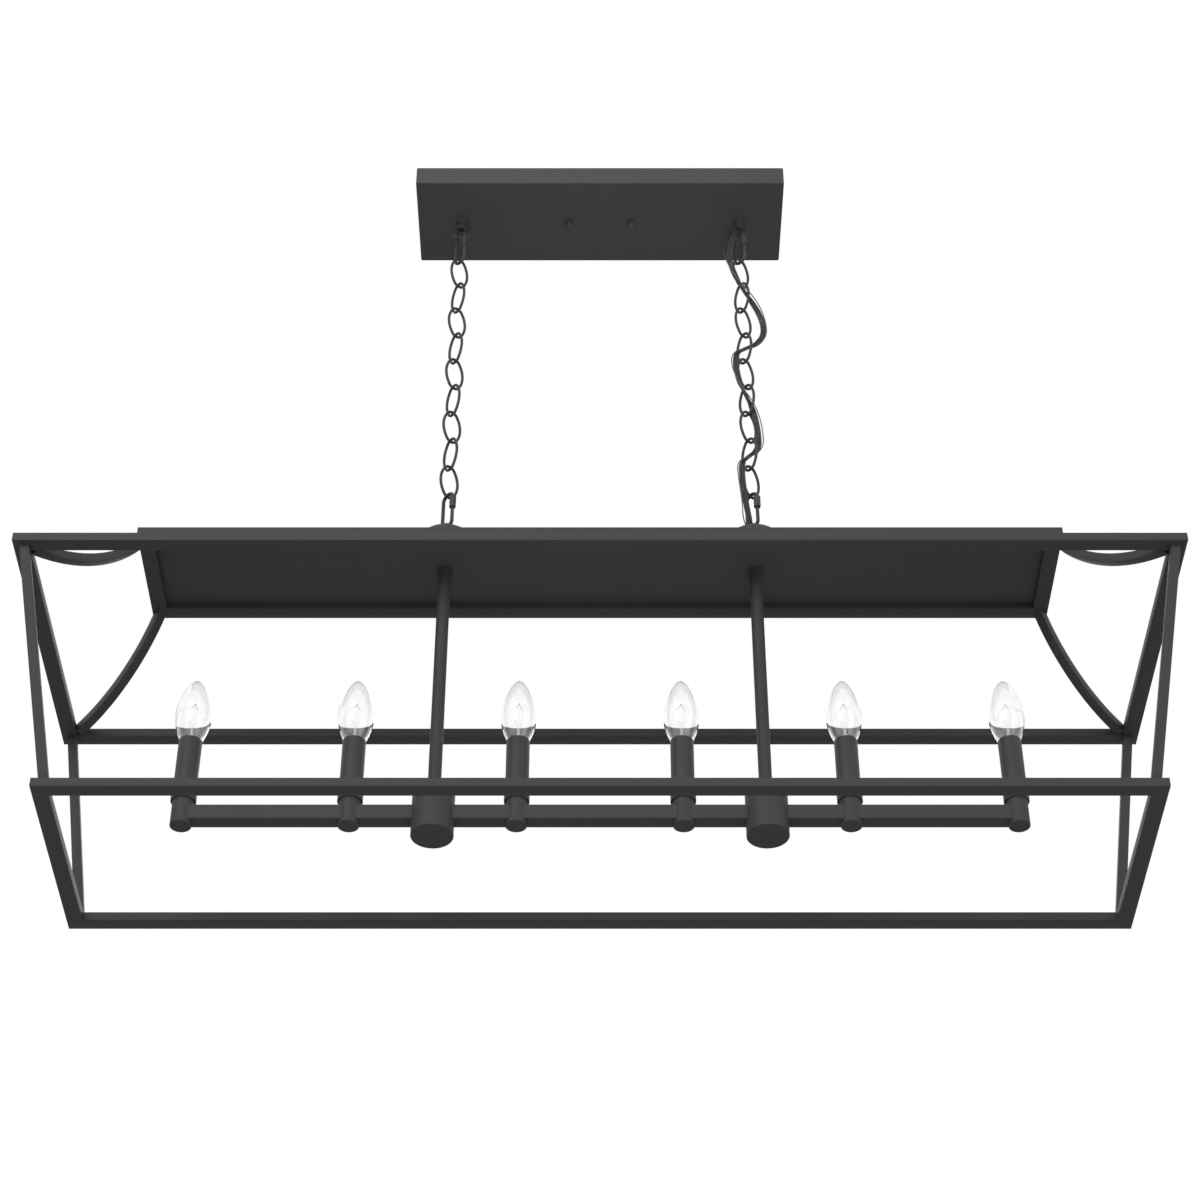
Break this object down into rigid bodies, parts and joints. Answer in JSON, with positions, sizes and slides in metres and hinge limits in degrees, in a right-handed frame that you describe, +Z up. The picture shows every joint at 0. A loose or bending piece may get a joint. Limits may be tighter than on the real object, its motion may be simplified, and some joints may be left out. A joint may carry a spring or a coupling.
{
  "type": "linear island pendant",
  "caption": "Long open-frame lantern pendant with a row of candle lights on a square bar, hung by two chains with quick links from a rectangular ceiling canopy.",
  "frame": {"origin": "middle of the canopy in the plane of the ceiling, at the middle of the strap slots for the outlet box", "axes": "+Z up, +X along the length of the light, +Y away from the side that the picture shows"},
  "size_m": [1.1, 0.3192, 0.8915],
  "materials": {
    "painted_sheet": "matte charcoal powder coat",
    "painted_bar": "matte charcoal powder coat",
    "painted_turned": "matte charcoal powder coat",
    "painted_sleeve": "matte charcoal paint",
    "painted_hardware": "satin charcoal paint",
    "zinc_steel": "zinc plated",
    "green_screw": "green passivated",
    "connector_plastic": "moulded plastic",
    "cord_sheath": "charcoal wire insulation",
    "bare_copper": "dull tinned copper",
    "socket_plastic": "pale phenolic",
    "bulb_glass": "clear",
    "bulb_brass": "nickel brass screw base"
  },
  "bodies": {
    "canopy": {"canopy_pan": "painted_sheet", "mounting_strap": "zinc_steel", "strap_studs": "zinc_steel", "ground_screw": "green_screw", "canopy_loop_left": "painted_hardware", "canopy_loop_right": "painted_hardware", "canopy_lock_nuts": "zinc_steel", "wire_connectors": "connector_plastic"},
    "cap_nut_left": {"cap_nut_left": "painted_hardware"},
    "cap_nut_right": {"cap_nut_right": "painted_hardware"},
    "quick_link_top_left": {"quick_link_top_left": "painted_hardware"},
    "sleeve_top_left": {"quick_link_sleeve_top_left": "painted_hardware"},
    "quick_link_bottom_left": {"quick_link_bottom_left": "painted_hardware"},
    "sleeve_bottom_left": {"quick_link_sleeve_bottom_left": "painted_hardware"},
    "chain_left": {"chain_left": "painted_hardware"},
    "quick_link_top_right": {"quick_link_top_right": "painted_hardware"},
    "sleeve_top_right": {"quick_link_sleeve_top_right": "painted_hardware"},
    "quick_link_bottom_right": {"quick_link_bottom_right": "painted_hardware"},
    "sleeve_bottom_right": {"quick_link_sleeve_bottom_right": "painted_hardware"},
    "chain_right": {"chain_right": "painted_hardware", "supply_cord": "cord_sheath", "ground_wire": "bare_copper"},
    "lantern": {"splice_cup_left": "painted_turned", "splice_cup_right": "painted_turned", "fixture_loop_left": "painted_hardware", "fixture_loop_right": "painted_hardware", "cup_lock_nuts": "zinc_steel", "cup_couplings": "zinc_steel", "jam_nuts": "zinc_steel", "stem_washers": "painted_turned", "tray_long_rails": "painted_bar", "tray_end_rails": "painted_bar", "tray_panel": "painted_sheet", "upper_ring_long_bars": "painted_bar", "upper_ring_end_bars": "painted_bar", "lower_ring_long_bars": "painted_bar", "lower_ring_end_bars": "painted_bar", "roof_arms": "painted_bar", "corner_posts": "painted_bar", "stem_left": "painted_turned", "stem_right": "painted_turned", "hub_left": "painted_turned", "hub_right": "painted_turned", "light_bar": "painted_bar", "candle_posts": "painted_turned", "drip_cups": "painted_turned", "candle_sleeves": "painted_sleeve", "lamp_sockets": "socket_plastic"},
    "bulb_1": {"bulb_glass_1": "bulb_glass", "bulb_base_1": "bulb_brass"},
    "bulb_2": {"bulb_glass_2": "bulb_glass", "bulb_base_2": "bulb_brass"},
    "bulb_3": {"bulb_glass_3": "bulb_glass", "bulb_base_3": "bulb_brass"},
    "bulb_4": {"bulb_glass_4": "bulb_glass", "bulb_base_4": "bulb_brass"},
    "bulb_5": {"bulb_glass_5": "bulb_glass", "bulb_base_5": "bulb_brass"},
    "bulb_6": {"bulb_glass_6": "bulb_glass", "bulb_base_6": "bulb_brass"}
  },
  "joints": [
    {"name": "cap_nut_left_unscrew", "type": "slide", "parent": "canopy", "child": "cap_nut_left", "axis": [0, 0, -1], "range_m": [0, 0.012]},
    {"name": "cap_nut_right_unscrew", "type": "slide", "parent": "canopy", "child": "cap_nut_right", "axis": [0, 0, -1], "range_m": [0, 0.012]},
    {"name": "sway_left", "type": "hinge", "parent": "canopy", "child": "quick_link_top_left", "pos_m": [-0.1558, 0, -0.0502], "axis": [1, 0, 0], "range_deg": [-10, 10], "deforming": ["supply_cord", "ground_wire"]},
    {"name": "chain_swing_left", "type": "hinge", "parent": "quick_link_top_left", "child": "chain_left", "pos_m": [-0.1558, 0, -0.09095], "axis": [0, 1, 0], "range_deg": [-10, 10], "deforming": ["supply_cord", "ground_wire"]},
    {"name": "lower_swing_left", "type": "hinge", "parent": "chain_left", "child": "quick_link_bottom_left", "pos_m": [-0.1558, 0, -0.43875], "axis": [0, 1, 0], "range_deg": [-10, 10], "deforming": ["supply_cord", "ground_wire"]},
    {"name": "sleeve_top_left_slide", "type": "slide", "parent": "quick_link_top_left", "child": "sleeve_top_left", "axis": [0, 0, -1], "range_m": [0, 0.012]},
    {"name": "sleeve_bottom_left_slide", "type": "slide", "parent": "quick_link_bottom_left", "child": "sleeve_bottom_left", "axis": [0, 0, -1], "range_m": [0, 0.012]},
    {"name": "sway_right", "type": "hinge", "parent": "canopy", "child": "quick_link_top_right", "pos_m": [0.1558, 0, -0.0502], "axis": [1, 0, 0], "range_deg": [-10, 10], "deforming": ["supply_cord", "ground_wire"]},
    {"name": "chain_swing_right", "type": "hinge", "parent": "quick_link_top_right", "child": "chain_right", "pos_m": [0.1558, 0, -0.09095], "axis": [0, 1, 0], "range_deg": [-10, 10], "deforming": ["supply_cord", "ground_wire"]},
    {"name": "lower_swing_right", "type": "hinge", "parent": "chain_right", "child": "quick_link_bottom_right", "pos_m": [0.1558, 0, -0.43875], "axis": [0, 1, 0], "range_deg": [-10, 10], "deforming": ["supply_cord", "ground_wire"]},
    {"name": "sleeve_top_right_slide", "type": "slide", "parent": "quick_link_top_right", "child": "sleeve_top_right", "axis": [0, 0, -1], "range_m": [0, 0.012]},
    {"name": "sleeve_bottom_right_slide", "type": "slide", "parent": "quick_link_bottom_right", "child": "sleeve_bottom_right", "axis": [0, 0, -1], "range_m": [0, 0.012]},
    {"name": "lantern_tilt", "type": "hinge", "parent": "quick_link_bottom_left", "child": "lantern", "pos_m": [-0.1558, 0, -0.4795], "axis": [1, 0, 0], "range_deg": [-10, 10], "deforming": ["supply_cord", "ground_wire"]},
    {"name": "bulb_1_unscrew", "type": "slide", "parent": "lantern", "child": "bulb_1", "axis": [0, 0, 1], "range_m": [0, 0.03]},
    {"name": "bulb_2_unscrew", "type": "slide", "parent": "lantern", "child": "bulb_2", "axis": [0, 0, 1], "range_m": [0, 0.03]},
    {"name": "bulb_3_unscrew", "type": "slide", "parent": "lantern", "child": "bulb_3", "axis": [0, 0, 1], "range_m": [0, 0.03]},
    {"name": "bulb_4_unscrew", "type": "slide", "parent": "lantern", "child": "bulb_4", "axis": [0, 0, 1], "range_m": [0, 0.03]},
    {"name": "bulb_5_unscrew", "type": "slide", "parent": "lantern", "child": "bulb_5", "axis": [0, 0, 1], "range_m": [0, 0.03]},
    {"name": "bulb_6_unscrew", "type": "slide", "parent": "lantern", "child": "bulb_6", "axis": [0, 0, 1], "range_m": [0, 0.03]}
  ],
  "couplings": [
    {"joint": "sway_right", "follows": "sway_left", "ratio": 1},
    {"joint": "chain_swing_right", "follows": "chain_swing_left", "ratio": 1},
    {"joint": "lower_swing_left", "follows": "chain_swing_left", "ratio": -1},
    {"joint": "lower_swing_right", "follows": "chain_swing_left", "ratio": -1}
  ]
}
